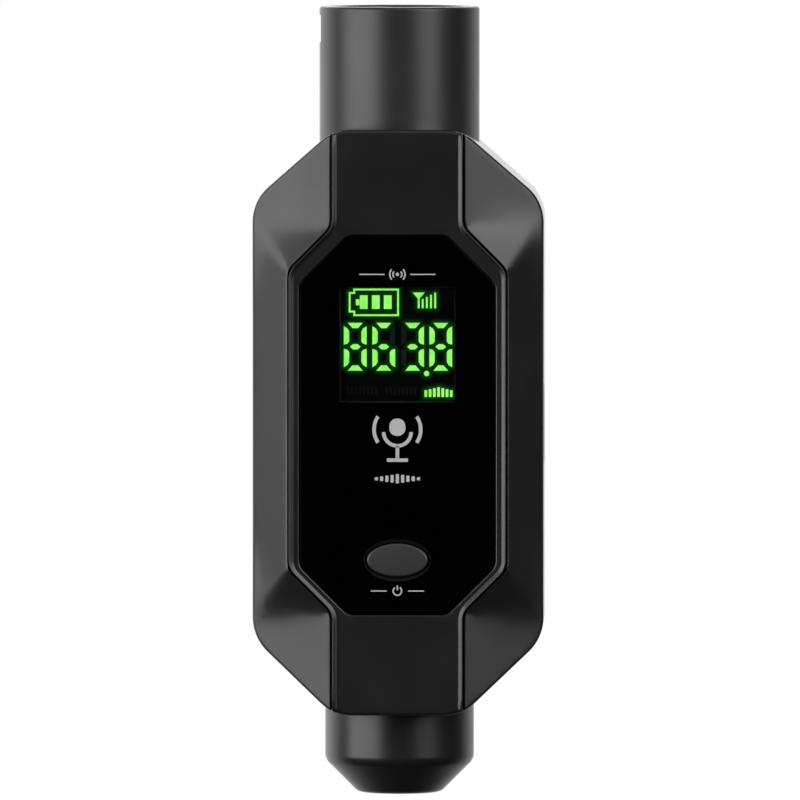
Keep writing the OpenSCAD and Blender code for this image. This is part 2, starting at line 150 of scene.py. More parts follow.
# Plug and aerial cap
plug_low, plug_high = box("xlr_shell")
BARREL_R = 9.5
BORE_R = 8.0
RIM_R = 0.4
TAIL_R = 8.4
COLLAR_Z = plug_low[2] + 1.9
PLUG_EAR_TOP = plug_low[2] + 3.9
cap_low, cap_high = box("antenna_cap")
CAP_R = 8.85
CAP_NOSE = 3.9
CAP_EAR_Z = cap_high[2] - 1.6

# Charging socket, in the +X wall
usb_low, usb_high = box("usb_port_shell")


# ---- Outlines in the X-Z plane ----

def ring(corners, grow=0.0, arc=10, step=1.5):
    """Points round a closed outline of (x, z, corner radius), listed anticlockwise from the front,
    moved out by grow. The same corners always give the same number of points."""
    place = [np.array(c[:2], float) for c in corners]
    arcs = []
    for i, here in enumerate(place):
        into = here - place[i - 1]
        out = place[(i + 1) % len(place)] - here
        into, out = into / np.linalg.norm(into), out / np.linalg.norm(out)
        n_in, n_out = np.array([into[1], -into[0]]), np.array([out[1], -out[0]])
        bend = 1 if into[0] * out[1] > into[1] * out[0] else -1
        turn = math.acos(float(np.clip(n_in @ n_out, -1, 1)))
        tip = here + (n_in + n_out) * grow / (1 + n_in @ n_out)
        if corners[i][2] == 0:
            arcs.append([tip])
            continue
        r = max(corners[i][2] + bend * grow, 0.02)
        centre = tip - into * r * math.tan(turn / 2) - n_in * r * bend
        swing = [(n_in * math.sin((1 - t) * turn) + n_out * math.sin(t * turn)) / math.sin(turn)
                 for t in np.linspace(0, 1, arc + 1)]
        arcs.append([centre + n * r * bend for n in swing])
    points = []
    for i, here in enumerate(place):
        points.extend(arcs[i])
        ahead = (i + 1) % len(place)
        gaps = max(1, round(np.linalg.norm(place[ahead] - here) / step))
        start, end = arcs[i][-1], arcs[ahead][0]
        points.extend(start + (end - start) * k / gaps for k in range(1, gaps))
    return np.array(points)


def cut_corners(half_w, low, high, cut_w, cut_low, cut_high, radius):
    """Corners of a rectangle, half_w to each side and from low to high, with its corners cut off."""
    w = half_w - cut_w
    right = [(half_w, low + cut_low), (half_w, high - cut_high), (w, high)]
    left = [(-w, high), (-half_w, high - cut_high), (-half_w, low + cut_low), (-w, low), (w, low)]
    return [(x, z, radius) for x, z in right + left]


def rectangle(half_w, half_h, radius, x=0.0, z=0.0):
    return [(x + half_w, z - half_h, radius), (x + half_w, z + half_h, radius),
            (x - half_w, z + half_h, radius), (x - half_w, z - half_h, radius)]


def ellipse(half_w, half_h, z=0.0, count=72, x=0.0):
    turns = np.linspace(0, 2 * math.pi, count, endpoint=False)
    return np.stack([x + half_w * np.cos(turns), z + half_h * np.sin(turns)], axis=1)


def mirror(right):
    """Adds the mirrored left half to corners listed up the right-hand side."""
    return right + [(-x, z, r) for x, z, r in reversed(right)]


def fascia_side():
    """The right-hand side of the fascia, from its lower to its upper inner corner."""
    bend = MID_CORNER + MID_HALF - SPINE_HALF
    return [(SPINE_HALF, MID_Z - bend, INNER_R), (MID_HALF, MID_Z - MID_CORNER, OUTER_R),
            (MID_HALF, MID_Z + MID_CORNER, OUTER_R), (SPINE_HALF, MID_Z + bend, INNER_R)]


def fascia_end(cut):
    """Half width of the fascia's straight end edge, and how far its corner falls behind that edge."""
    flat = HALF_W - CUT_W - CORNER_R * math.tan(math.atan2(cut, CUT_W) / 2)
    arc_end = SPINE_HALF - 0.25
    turn = math.asin((arc_end - flat) / CORNER_R)
    fall = CORNER_R * (1 - math.cos(turn)) + (SPINE_HALF - arc_end) * math.tan(turn)
    return flat + CORNER_R * math.tan(turn / 2), fall


def fascia_outline():
    """The fascia, with its two ends rounded like the casing's."""
    low, low_fall = fascia_end(CUT_BOTTOM)
    high, high_fall = fascia_end(CUT_TOP)
    lower = [(low, BOTTOM, CORNER_R), (SPINE_HALF, BOTTOM + low_fall, 0.25)]
    upper = [(SPINE_HALF, TOP - high_fall, 0.25), (high, TOP, CORNER_R)]
    return mirror(lower + fascia_side() + upper)


def fascia_sides(past=4.0):
    """The fascia's sides carried past the ends of the casing."""
    return mirror([(SPINE_HALF, BOTTOM - past, 0)] + fascia_side() + [(SPINE_HALF, TOP + past, 0)])


BODY = cut_corners(HALF_W, BOTTOM, TOP, CUT_W, CUT_BOTTOM, CUT_TOP, CORNER_R)
FASCIA = fascia_outline()
SIDES = fascia_sides()
LENS = cut_corners(lens_high[0], lens_low[2], lens_high[2], LENS_CUT, LENS_CUT, LENS_CUT, LENS_R)


# ---- Measuring and triangulating flat shapes ----

def nearest(points, loop):
    """The point on a closed polyline that is nearest to each of points."""
    best = np.full(len(points), 1e9)
    found = np.zeros((len(points), 2))
    for start, end in zip(loop, np.roll(loop, -1, axis=0)):
        along = end - start
        t = np.clip((points - start) @ along / max(along @ along, 1e-12), 0, 1)
        spot = start + t[:, None] * along
        gap = np.linalg.norm(points - spot, axis=1)
        closer = gap < best
        best[closer] = gap[closer]
        found[closer] = spot[closer]
    return found


def distance(points, loop):
    return np.linalg.norm(points - nearest(points, loop), axis=1)


def inside(points, loops):
    """True for each point that lies inside an odd number of the loops."""
    odd = np.zeros(len(points), bool)
    x, z = points[:, 0], points[:, 1]
    for loop in loops:
        for (x0, z0), (x1, z1) in zip(loop, np.roll(loop, -1, axis=0)):
            if z0 != z1:
                crosses = (z0 > z) != (z1 > z)
                odd ^= crosses & (x < (x1 - x0) * (z - z0) / (z1 - z0) + x0)
    return odd


def grid(loops, spacing):
    """Points at an even spacing inside the first loop and clear of every loop."""
    low, high = loops[0].min(0), loops[0].max(0)
    across = np.arange(low[0] + spacing / 2, high[0], spacing)
    along = np.arange(low[1] + spacing / 2, high[1], spacing)
    points = np.array([(x + (k % 2) * spacing / 2, z) for k, z in enumerate(along) for x in across])
    points = points[inside(points, loops[:1])]
    clear = np.ones(len(points), bool)
    for loop in loops:
        clear &= distance(points, loop) > spacing * 0.45
    return points[clear]


def triangulate(loops, lines=(), extra=()):
    """Triangles that fill the loops by the odd rule, with edges along every loop and line."""
    points, edges = [], []
    for loop in list(loops) + list(lines):
        first = len(points)
        points.extend(Vector(p) for p in loop)
        edges.extend((first + i, first + (i + 1) % len(loop)) for i in range(len(loop)))
    points.extend(Vector(p) for p in extra)
    flat, lines_made, faces, _, sources, _ = delaunay_2d_cdt(points, edges, [], 0, 1e-5)
    flat = np.array([tuple(p) for p in flat])
    fence = sum(len(loop) for loop in loops)
    walls = {tuple(sorted(e)) for e, source in zip(lines_made, sources) if source and min(source) < fence}
    kept = []
    for patch in patches(faces, walls):
        corners = flat[[faces[k] for k in patch]]
        sides = corners[:, 1:] - corners[:, :1]
        area = np.abs(sides[:, 0, 0] * sides[:, 1, 1] - sides[:, 0, 1] * sides[:, 1, 0])
        widest = corners[area.argmax()].mean(0)
        if area.max() > 1e-4 and inside(widest[None], loops)[0]:
            kept.extend(tuple(faces[k]) for k in patch)
    return flat, kept


def patches(faces, walls):
    """Groups of triangles that touch without crossing a wall."""
    beside = {}
    for k, corners in enumerate(faces):
        for i in range(3):
            pair = tuple(sorted((corners[i], corners[i - 1])))
            if pair not in walls:
                beside.setdefault(pair, []).append(k)
    touching = [[] for _ in faces]
    for both in beside.values():
        if len(both) == 2:
            touching[both[0]].append(both[1])
            touching[both[1]].append(both[0])
    waiting = set(range(len(faces)))
    while waiting:
        patch, edge = [], [waiting.pop()]
        while edge:
            here = edge.pop()
            patch.append(here)
            ahead = [k for k in touching[here] if k in waiting]
            waiting.difference_update(ahead)
            edge.extend(ahead)
        yield patch


# ---- Building closed pieces ----

class Form:
    """The faces of one piece, gathered in millimetres. mark is the index of a face's material."""

    def __init__(self):
        self.points = []
        self.faces = []
        self.marks = []

    def add(self, points):
        first = len(self.points)
        self.points.extend(tuple(float(c) for c in p) for p in points)
        return list(range(first, len(self.points)))

    def face(self, corners, mark=0):
        self.faces.append(tuple(corners))
        self.marks.append(mark)

    def band(self, rings, closed=False, mark=0):
        """Joins rings of equal length with quads, and the last to the first where closed."""
        rows = [self.add(r) for r in rings]
        pairs = list(zip(rows, rows[1:])) + ([(rows[-1], rows[0])] if closed else [])
        for low, high in pairs:
            for i in range(len(low)):
                j = (i + 1) % len(low)
                self.face((low[i], low[j], high[j], high[i]), mark)

    def cap(self, points):
        self.face(self.add(points))

    def sheet(self, flat, triangles, heights, mark=None):
        """Adds triangles at their depths, and returns the corners of their outer rim in order."""
        used = self.add([(x, y, z) for (x, z), y in zip(flat, heights)])
        for k, corners in enumerate(triangles):
            self.face([used[c] for c in corners], 0 if mark is None else int(mark[k]))
        sides = [(t[i], t[(i + 1) % 3]) for t in triangles for i in range(3)]
        shared = set(sides)
        ahead = {a: b for a, b in sides if (b, a) not in shared}
        start = max(ahead, key=lambda i: flat[i][0])
        rim, here = [start], ahead[start]
        while here != start:
            rim.append(here)
            here = ahead[here]
        return np.array([self.points[used[i]] for i in rim])

    def build(self, name, sharp=35.0):
        """Makes the closed mesh, welded, facing outwards and smooth but for its sharp edges."""
        mesh = bpy.data.meshes.new(name)
        mesh.from_pydata([Vector(p) * MM for p in self.points], [], self.faces)
        mesh.polygons.foreach_set("material_index", self.marks)
        work = bmesh.new()
        work.from_mesh(mesh)
        bmesh.ops.remove_doubles(work, verts=work.verts, dist=WELD)
        bmesh.ops.recalc_face_normals(work, faces=work.faces)
        work.to_mesh(mesh)
        work.free()
        piece = bpy.data.objects.new(name, mesh)
        bpy.context.scene.collection.objects.link(piece)
        smooth(piece, sharp)
        return piece


def smooth(piece, sharp=35.0):
    piece.data.shade_smooth()
    piece.data.set_sharp_from_angle(angle=math.radians(sharp))


def deep(flat, y):
    """Points of the X-Z plane at depth y."""
    return [(x, y, z) for x, z in flat]


def stack(rings, name="tool"):
    """A solid whose surface runs through rings, closed over the first and the last."""
    form = Form()
    form.band(rings)
    form.cap(rings[0])
    form.cap(rings[-1])
    return form.build(name)


def hoop(form, outer, inner, low, high):
    """Adds a closed frame between two outlines, from depth low to depth high."""
    form.band([deep(outer, low), deep(outer, high), deep(inner, high), deep(inner, low)], closed=True)


def prism(outline, low, high, axis="Y"):
    """A solid drawn as a closed outline and carried along an axis from low to high."""
    order = {"X": (2, 0, 1), "Y": (0, 2, 1), "Z": (0, 1, 2)}[axis]
    return stack([[[(u, v, w)[k] for k in order] for u, v in outline] for w in (low, high)])


def turned(profile, centre=(0.0, 0.0), axis="Z", sides=96):
    """A solid of revolution from a closed profile of (radius, height), about a line along an axis."""
    form = Form()
    turns = np.linspace(0, 2 * math.pi, sides, endpoint=False) + math.pi / sides
    rings = []
    for r, h in profile:
        round_ = [(centre[0] + r * math.cos(a), centre[1] + r * math.sin(a)) for a in turns]
        rings.append([(u, v, h) if axis == "Z" else (u, h, v) for u, v in round_])
    on_axis = profile[0][0] == 0 and profile[-1][0] == 0
    form.band(rings, closed=not on_axis)
    return form.build("turned")


def rod(radius, low, high, centre, axis="Y", sides=40):
    return turned([(0, low), (radius, low), (radius, high), (0, high)], centre, axis, sides)


def carve(piece, *steps):
    """Cuts tools from a piece, joins them to it or keeps what they share: (how, tool), ..."""
    for how, tool in steps:
        change = piece.modifiers.new(how, "BOOLEAN")
        change.operation = how
        change.object = tool
        change.solver = "EXACT"
        graph = bpy.context.evaluated_depsgraph_get()
        mesh = bpy.data.meshes.new_from_object(piece.evaluated_get(graph))
        piece.modifiers.clear()
        piece.data = mesh
        bpy.data.objects.remove(tool)
    mend(piece)
    smooth(piece)
    return piece


def mend(piece):
    """Welds the slivers that cutting leaves where surfaces nearly touch, and closes what that opens."""
    work = bmesh.new()
    work.from_mesh(piece.data)
    bmesh.ops.remove_doubles(work, verts=work.verts, dist=SLIVER)
    bmesh.ops.dissolve_degenerate(work, edges=work.edges, dist=WELD)
    bmesh.ops.holes_fill(work, edges=[e for e in work.edges if len(e.link_faces) == 1], sides=0)
    bmesh.ops.delete(work, geom=[e for e in work.edges if not e.link_faces], context="EDGES")
    bmesh.ops.recalc_face_normals(work, faces=work.faces)
    work.to_mesh(piece.data)
    work.free()


def fillet(gap, radius):
    """How far a rounded edge falls at a distance gap from the edge line."""
    inner = radius - np.minimum(gap, radius)
    return radius - np.sqrt(np.maximum(radius ** 2 - inner ** 2, 0))


def fillet_rows(radius, count=7):
    """Distances from the edge line that follow a rounded edge evenly."""
    return [radius * (1 - math.cos(math.pi / 2 * k / count)) for k in range(count + 1)]


# ---- Casing ----

def facets(p, from_seam):
    """How far the front falls from its shoulder at each point: a ridge along the spine, cut by a taper
    round the wide middle. Creases start crisp at the fascia and fan out into soft blends."""
    x, z = np.abs(p[:, 0]), np.abs(p[:, 1] - MID_Z)
    edge = MID_HALF + SEAM
    ridge = (x - SPINE_HALF - SEAM) * FACET_DROP / (HALF_W - SPINE_HALF - SEAM)
    side = (x - edge) * FACET_DROP / (HALF_W - edge)
    corner = (x - edge + z - MID_CORNER - SEAM * 0.4) / math.sqrt(2) * CORNER_SLOPE
    soft = BLEND * np.clip(from_seam / 4.0, 0.02, 1)
    taper = (side + corner + np.sqrt((side - corner) ** 2 + soft ** 2 * 0.25)) / 2
    soft = soft * np.clip((z - 13) / 7, 0.02, 1)
    both = (ridge + taper - np.sqrt((ridge - taper) ** 2 + soft ** 2 * 0.25)) / 2
    return np.maximum(both, 0)


def front_depth(p):
    """Depth of the front surface of the front shell, with its rounded edges."""
    outline, seam = ring(BODY), ring(SIDES, SEAM)
    from_seam = np.where(inside(p, [seam]), 0, distance(p, seam))
    fall = facets(p, from_seam) + fillet(distance(p, outline), EDGE_R) + fillet(from_seam, SEAM_R)
    return SHOULDER + fall


def front_block():
    """The front shell as a solid, with its facets, rounded edges and parting edge."""
    form = Form()
    rings = [ring(BODY, -d) for d in fillet_rows(EDGE_R) + [0.8, 1.3]]
    seams = [ring(SIDES, SEAM + s) for s in fillet_rows(SEAM_R, 4) + [0.45]]
    dots = grid([rings[-1], seams[0], seams[-1]], 0.62)
    flat, triangles = triangulate(rings[:1], rings[1:] + seams, dots)
    rim = form.sheet(flat, triangles, front_depth(flat))
    inner = nearest(rim[:, [0, 2]], ring(BODY, -PARTING_R))
    rows = [rim]
    for t in (0.33, 0.66, 1.0):
        row = rim.copy()
        row[:, 1] = rim[:, 1] * (1 - t) - PARTING_R * t
        rows.append(row)
    last = rim.copy()
    last[:, 0], last[:, 1], last[:, 2] = inner[:, 0], 0, inner[:, 1]
    form.band(rows + [last])
    form.cap(last)
    return form.build("front_shell_body")


def front_hollow():
    """The space inside the front shell."""
    form = Form()
    edge = ring(BODY, -WALL)
    flat, triangles = triangulate([edge], (), grid([edge], 1.3))
    seam = ring(SIDES, SEAM)
    from_seam = np.where(inside(flat, [seam]), 0, distance(flat, seam))
    depth = np.maximum(INSIDE, SHOULDER + facets(flat, from_seam) + 1.1 * WALL)
    rim = form.sheet(flat, triangles, depth)
    last = rim.copy()
    last[:, 1] = 1.0
    form.band([rim, last])
    form.cap(last)
    return form.build("tool")


CASE_SCREWS = [(x, z) for x in (-12.5, 12.5) for z in (-28.4, -70.2)]
BOARD_SCREWS = [(x, z) for x in (-7.6, 7.6) for z in (-27.3, -74.6)]
BOARD_FRONT = box("main_board")[0][1]
PLUG_STEP = box("xlr_insert")[0][2]
EAR_H = 12.0
GRIP = 0.05
CRADLE_HALF = 12.0
CASE_POST_R = 2.6
BOARD_POST_R = 1.9
CASE_PILOT_R = 1.0
BOARD_PILOT_R = 0.8


def ears(radius, low, high, grow=0.0):
    """Two ears that stop a round part turning in the shells, as one bar with rounded ends."""
    reach = math.asin((EAR_H / 2 + grow) / (radius + grow))
    turns = np.linspace(-reach, reach, 9)
    right = [((radius + grow) * math.cos(a), (radius + grow) * math.sin(a)) for a in turns]
    left = [(-x, -y) for x, y in right]
    return prism(np.array(right + left), low - grow, high + grow, "Z")


def round_spaces():
    """What the plug and the aerial cap take out of the two shells."""
    tools = [rod(BARREL_R + GRIP, COLLAR_Z - GRIP, 1, (0, 0), "Z", 96),
             ears(plug_high[0], COLLAR_Z, PLUG_EAR_TOP, GRIP),
             rod(TAIL_R + GRIP, plug_low[2] - 1, plug_low[2] + 3, (0, 0), "Z", 96),
             rod(CAP_R + GRIP, BOTTOM - 1, cap_high[2] + GRIP, (0, 0), "Z", 96),
             ears(cap_high[0], CAP_EAR_Z, cap_high[2], GRIP)]
    return [("DIFFERENCE", tool) for tool in tools]


def cradles(low, high, taper=0.0):
    """Blocks behind the two ends that hold the plug and the cap, tapering in where the shell does."""
    rows = [(WALL / 2, low), (WALL / 2, high - taper)] + ([(WALL / 2 + taper, high)] if taper else [])

    def slab(bottom, top):
        block = stack([deep(ring(BODY, -inset), y) for inset, y in rows])
        keep = ring(rectangle(CRADLE_HALF, (top - bottom) / 2, 0, 0, (top + bottom) / 2))
        return carve(block, ("INTERSECT", prism(keep, low - 1, high + 1)))

    ends = ((plug_low[2], plug_low[2] + 5.5), (cap_high[2] - 3.2, cap_high[2]))
    return [("UNION", slab(bottom, top)) for bottom, top in ends]


def front_shell():
    piece = carve(front_block(), ("DIFFERENCE", front_hollow()))
    root = INSIDE - 0.4
    piece = carve(piece, *cradles(root, -0.01))
    posts = [("UNION", rod(CASE_POST_R, root, -0.03, spot)) for spot in CASE_SCREWS]
    posts += [("UNION", rod(BOARD_POST_R, root, BOARD_FRONT, spot)) for spot in BOARD_SCREWS]
    piece = carve(piece, *posts)
    tools = [rod(CASE_PILOT_R, -7, 1, spot) for spot in CASE_SCREWS]
    tools += [rod(BOARD_PILOT_R, BOARD_FRONT - 2.2, BOARD_FRONT + 1, spot) for spot in BOARD_SCREWS]
    holes = [("DIFFERENCE", tool) for tool in tools]
    groove = Form()
    hoop(groove, ring(BODY, -0.82), ring(BODY, -WALL - 0.4), -LIP_H - 0.08, 1)
    usb_half = (usb_high - usb_low) / 2 + 0.15
    usb_mid = (usb_high + usb_low) / 2
    slot = rectangle(usb_half[1], usb_half[2], 1.2, usb_mid[1], usb_mid[2])
    cuts = [prism(ring(SIDES, SEAM + SEAM_TRIM), FRONT - 2, POCKET)]
    cuts += [prism(hole, POCKET - 1, INSIDE + 1) for hole in fascia_holes()]
    cuts += [groove.build("tool"), prism(ring(slot), usb_high[0] - 2.6, HALF_W + 1, "X"), socket_flare(slot)]
    piece = carve(piece, *holes, *round_spaces(), *[("DIFFERENCE", tool) for tool in cuts])
    piece.name = "front_shell_skin"
    return piece


def fascia_holes():
    """Openings for the display and the button, through the fascia and the shell behind it."""
    return [ring(rectangle(GLASS_HOLE, GLASS_HOLE, 0.3, 0, WINDOW_Z)),
            ellipse(BUTTON_W + HOLE_GAP, BUTTON_H + HOLE_GAP, BUTTON_Z)]


def socket_flare(slot):
    """A tapering cut that chamfers the charging socket's slot in the side wall."""
    flare = [(y, z, r + 0.25) for y, z, r in slot]
    rows = [(0.0, HALF_W - 0.3), (0.0, HALF_W - 0.25), (0.35, HALF_W + 0.1), (0.35, HALF_W + 0.5)]
    return stack([[(x, u, v) for u, v in ring(flare, grow)] for grow, x in rows])


def rear_shell():
    """The back half: a tray with a soft chamfer round the back, four screw wells and a label recess."""
    c = REAR_CHAMFER
    rows = [(PARTING_R, 0.0), (0.035, 0.035), (0.0, PARTING_R), (0.0, 3.5), (0.0, 7.0), (0.0, BACK - c - 0.5),
            (0.05, BACK - c - 0.17), (0.18, BACK - c + 0.12), (0.38, BACK - c + 0.36),
            (c / 2, BACK - c / 2), (c - 0.36, BACK - 0.38), (c - 0.12, BACK - 0.18),
            (c + 0.17, BACK - 0.05), (c + 0.5, BACK)]
    piece = stack([deep(ring(BODY, -inset), y) for inset, y in rows], "rear_shell_skin")
    inner = BACK - WALL
    bowl = [(WALL, -1), (WALL, inner - c), (c + WALL / 2, inner)]
    hollow = stack([deep(ring(BODY, -inset), y) for inset, y in bowl])
    piece = carve(piece, ("DIFFERENCE", hollow), *cradles(0.01, inner + 0.3, c))
    posts = [("UNION", rod(CASE_POST_R + 0.3, 0.03, inner + 0.3, spot)) for spot in CASE_SCREWS]
    lip = Form()
    hoop(lip, ring(BODY, -0.9), ring(BODY, -WALL - 0.15), -LIP_H, 0.4)
    piece = carve(piece, *posts, ("UNION", lip.build("tool")))
    head_y = box("case_screws")[1][1] - 1.4
    shank_r, head_r, mouth_r = 1.15, 2.1, 2.4
    well = [(0, -2), (shank_r, -2), (shank_r, head_y), (head_r, head_y), (head_r, BACK - 0.25),
            (mouth_r, BACK + 0.05), (mouth_r, BACK + 1), (0, BACK + 1)]
    cuts = [("DIFFERENCE", turned(well, spot, "Y", 48)) for spot in CASE_SCREWS]
    label_low, label_high = box("rear_label")
    label_z = (label_low[2] + label_high[2]) / 2
    recess = rectangle(label_high[0] + 0.2, label_high[2] - label_z + 0.2, 1.2, 0, label_z)
    cuts += [("DIFFERENCE", prism(ring(recess), label_low[1], BACK + 1))]
    return carve(piece, *cuts, *round_spaces())


def fascia_depth(p):
    """Depth of the fascia's face: flat, with raised margins along its sides and rounded ends."""
    from_side = distance(p, ring(SIDES))
    slope = np.clip((from_side - CREST) / (MARGIN_W - CREST), 0, 1)
    slope = slope - 0.06 * np.sin(2 * math.pi * slope)
    end = fillet(distance(p, ring(BODY)), END_R)
    return FRONT + MARGIN_H * slope + fillet(from_side, CREST) + end


def front_fascia():
    """The raised spine and wide middle, with a pocket for the lens and its two openings."""
    form = Form()
    insets = sorted(fillet_rows(END_R, 6) + [0.02, 0.06, 0.24, 0.52, 0.58, 0.7])
    rings = [ring(FASCIA, -d, arc=8) for d in insets]
    lens_edge = 0.16
    lens_rings = [ring(LENS, 0.08 + d) for d in fillet_rows(lens_edge, 3)]
    dots = grid([rings[-1], lens_rings[-1]], 1.2)
    dots = dots[~inside(dots, [lens_rings[0]])]
    flat, triangles = triangulate([rings[0], lens_rings[0]], rings[1:] + lens_rings[1:], dots)
    depth = fascia_depth(flat) + fillet(distance(flat, lens_rings[0]), lens_edge)
    form.sheet(flat, triangles, depth)
    for loop, low in ((rings[0], POCKET), (lens_rings[0], LENS_FLOOR)):
        top = [(x, y, z) for (x, z), y in zip(loop, depth_at(loop, flat, depth))]
        form.band([top, deep(loop, low)])
    holes = fascia_holes()
    for outer, y in ((lens_rings[0], LENS_FLOOR), (rings[0], POCKET)):
        flat, triangles = triangulate([outer] + holes)
        form.sheet(flat, triangles, np.full(len(flat), y))
    for hole in holes:
        form.band([deep(hole, LENS_FLOOR), deep(hole, POCKET)])
    return form.build("front_fascia_skin", sharp=50)


def depth_at(loop, flat, depth):
    """Depth of each point of a loop, from the sheet it belongs to."""
    return [depth[np.argmin(((flat - p) ** 2).sum(1))] for p in loop]


# ---- Lens, button and display ----

def display_lens():
    """The eight-sided plate, clear over the display, with a matt chamfer round the button."""
    form = Form()
    back = lens_high[1]
    edge = [ring(LENS), ring(LENS, -LENS_CHAMFER)]
    gaps = ((HOLE_TIGHT, HOLE_TIGHT), (HOLE_GAP, HOLE_TALL))
    hole = [ellipse(BUTTON_W + wide, BUTTON_H + high, BUTTON_Z) for wide, high in gaps]
    window = ring(rectangle(WINDOW_HALF, WINDOW_HALF, 0.12, 0, WINDOW_Z), arc=3)
    for outer, inner, y in ((edge[1], hole[1], LENS_FRONT), (edge[0], hole[0], back)):
        flat, triangles = triangulate([outer, inner], [window], grid([outer, inner, window], 1.6))
        middles = np.array([flat[list(t)].mean(0) for t in triangles])
        form.sheet(flat, triangles, np.full(len(flat), y), inside(middles, [window]))
    form.band([deep(edge[1], LENS_FRONT), deep(edge[0], LENS_FRONT + LENS_CHAMFER), deep(edge[0], back)])
    form.band([deep(hole[1], LENS_FRONT), deep(hole[0], LENS_FRONT + HOLE_CHAMFER)], mark=2)
    form.band([deep(hole[0], LENS_FRONT + HOLE_CHAMFER), deep(hole[0], back)])
    return form.build("display_lens_skin", sharp=25)


def power_button():
    """A domed oval key on a wider flange, with a round foot that meets the switch."""
    form = Form()
    face = button_low[1]
    foot = button_high[1]
    side = face + KEY_DOME + KEY_RIM
    rows = [(0.0, 0.0, foot), (FOOT_R, FOOT_R, foot), (FOOT_R, FOOT_R, FLANGE_BACK)]
    rows += [(BUTTON_W + FLANGE, BUTTON_H + FLANGE, y) for y in (FLANGE_BACK, FLANGE_FRONT)]
    rows += [(BUTTON_W, BUTTON_H, y) for y in (FLANGE_FRONT, side)]
    for k in range(1, 8):
        turn = math.pi / 2 * k / 7
        inset = KEY_RIM * (1 - math.cos(turn))
        rows.append((BUTTON_W - inset, BUTTON_H - inset, side - KEY_RIM * math.sin(turn)))
    for k in range(1, 9):
        share = 1 - k / 8
        rows.append(((BUTTON_W - KEY_RIM) * share, (BUTTON_H - KEY_RIM) * share, face + KEY_DOME * share ** 2))
    form.band([deep(ellipse(w, h, BUTTON_Z), y) for w, h, y in rows])
    return form.build("power_button_skin", sharp=40)


def plates(name, outlines, front, back, frames=()):
    """Thin closed plates facing -Y, one for each outline, and a frame for each (outer, inner) pair."""
    form = Form()
    for outline in outlines:
        form.band([deep(outline, front), deep(outline, back)])
        form.cap(deep(outline, front))
        form.cap(deep(outline, back))
    for outer, inner in frames:
        hoop(form, outer, inner, front, back)
    return form.build(name)


# The display is drawn from the lower left corner of its first digit
DIGIT_X = -6.33
DIGIT_Z = -42.8
DIGIT_W = 2.68
DIGIT_H = 5.64
BAR = 0.62


def segments():
    """The seven segments of one digit, named a to g in the usual order."""
    w, h, t, m = DIGIT_W, DIGIT_H, BAR, DIGIT_H / 2
    side = [(0, 0.42), (0.42, 0.66), (t, 1.04), (t, m - 0.65), (0.45, m - 0.38), (0, m - 0.26)]
    top = [(0.48, h), (1.0, h - t), (w - 1.0, h - t), (w - 0.48, h)]
    middle = [(0.71, m), (1.06, m - t / 2), (w - 1.06, m - t / 2), (w - 0.71, m),
              (w - 1.06, m + t / 2), (1.06, m + t / 2)]
    return {"a": top, "b": [(w - x, h - z) for x, z in side], "c": [(w - x, z) for x, z in side],
            "d": [(x, h - z) for x, z in top], "e": side, "f": [(x, h - z) for x, z in side], "g": middle}


def placed(shape, x=0.0, z=0.0):
    return np.array([(DIGIT_X + x + u, DIGIT_Z + z + v) for u, v in shape])


def bar(x0, z0, x1, z1, radius=0.04):
    """A bar with slightly soft corners on the display."""
    x, z = DIGIT_X + (x0 + x1) / 2, DIGIT_Z + (z0 + z1) / 2
    return ring(rectangle((x1 - x0) / 2, (z1 - z0) / 2, radius, x, z), arc=3)


def reading():
    """Outlines of the lit and the unlit segments of a four-digit reading, with its decimal point."""
    shapes = segments()
    starts = [0.0, 3.36, 6.76, 10.08]
    digits = ["abcdefg", "acdefg", "abcdg", "abcdefg"]
    lit = [placed(shapes[s], x) for x, on in zip(starts, digits) for s in on]
    dark = [placed(shapes[s], x) for x, on in zip(starts, digits) for s in "abcdefg" if s not in on]
    point = ellipse(0.31, 0.31, DIGIT_Z - 0.33, 20, DIGIT_X + 9.75)
    return lit + [point], dark


def icons():
    """Outlines of a battery gauge, a signal gauge and a row of level bars."""
    left, right, low, high, step, line = 0.57, 6.49, 6.44, 9.68, 0.54, 0.21
    case = [(left, low + 0.43), (left + step, low + 0.43), (left + step, low), (right, low), (right, high),
            (left + step, high), (left + step, high - 0.41), (left, high - 0.41)]
    outer = ring([(DIGIT_X + x, DIGIT_Z + z, 0) for x, z in case], 0, step=9)
    inner = ring([(DIGIT_X + x, DIGIT_Z + z, 0) for x, z in case], -line, step=9)
    cells = [bar(x, 7.28, x + 0.92, 8.89) for x in (1.88, 3.3, 4.71)] + [bar(1.41, 7.72, 1.84, 8.42)]
    mast = placed([(8.71, 7.37), (8.93, 7.37), (8.93, 8.5), (9.52, 9.22), (8.12, 9.22), (8.71, 8.5)])
    gauge = [bar(9.18 + 0.49 * k, 7.37, 9.4 + 0.49 * k, 8.46 + 0.25 * k) for k in range(4)]
    levels = [bar(9.5 + 0.5 * k, -3.1, 9.82 + 0.5 * k, -1.95 - 0.12 * abs(k - 3)) for k in range(7)]
    return (outer, inner), cells + [mast] + gauge + levels


def display_parts():
    """Everything drawn on the face of the display: lit shapes, unlit shapes, its border and its glow."""
    face = glass_low[1]
    lit, dark = reading()
    (outer, inner), marks = icons()
    ghosts = [bar(x + 0.48 * k, -2.9, x + 0.3 + 0.48 * k, -1.9) for x in (0.3, 4.9) for k in range(8)]
    rings = [ring(rectangle(WINDOW_HALF + g, WINDOW_HALF + g, 0, 0, WINDOW_Z)) for g in (0.05, -0.16)]
    return (plates("display_lit_segments", lit + marks, face - 0.05, face - 0.02, [(outer, inner)]),
            plates("display_unlit_segments", dark, face - 0.04, face - 0.02),
            plates("display_unlit_bars", ghosts, face - 0.04, face - 0.02),
            plates("display_border", [], face - 0.06, face - 0.01, [rings]),
            glow_film(face, lit + marks + [outer], inner))


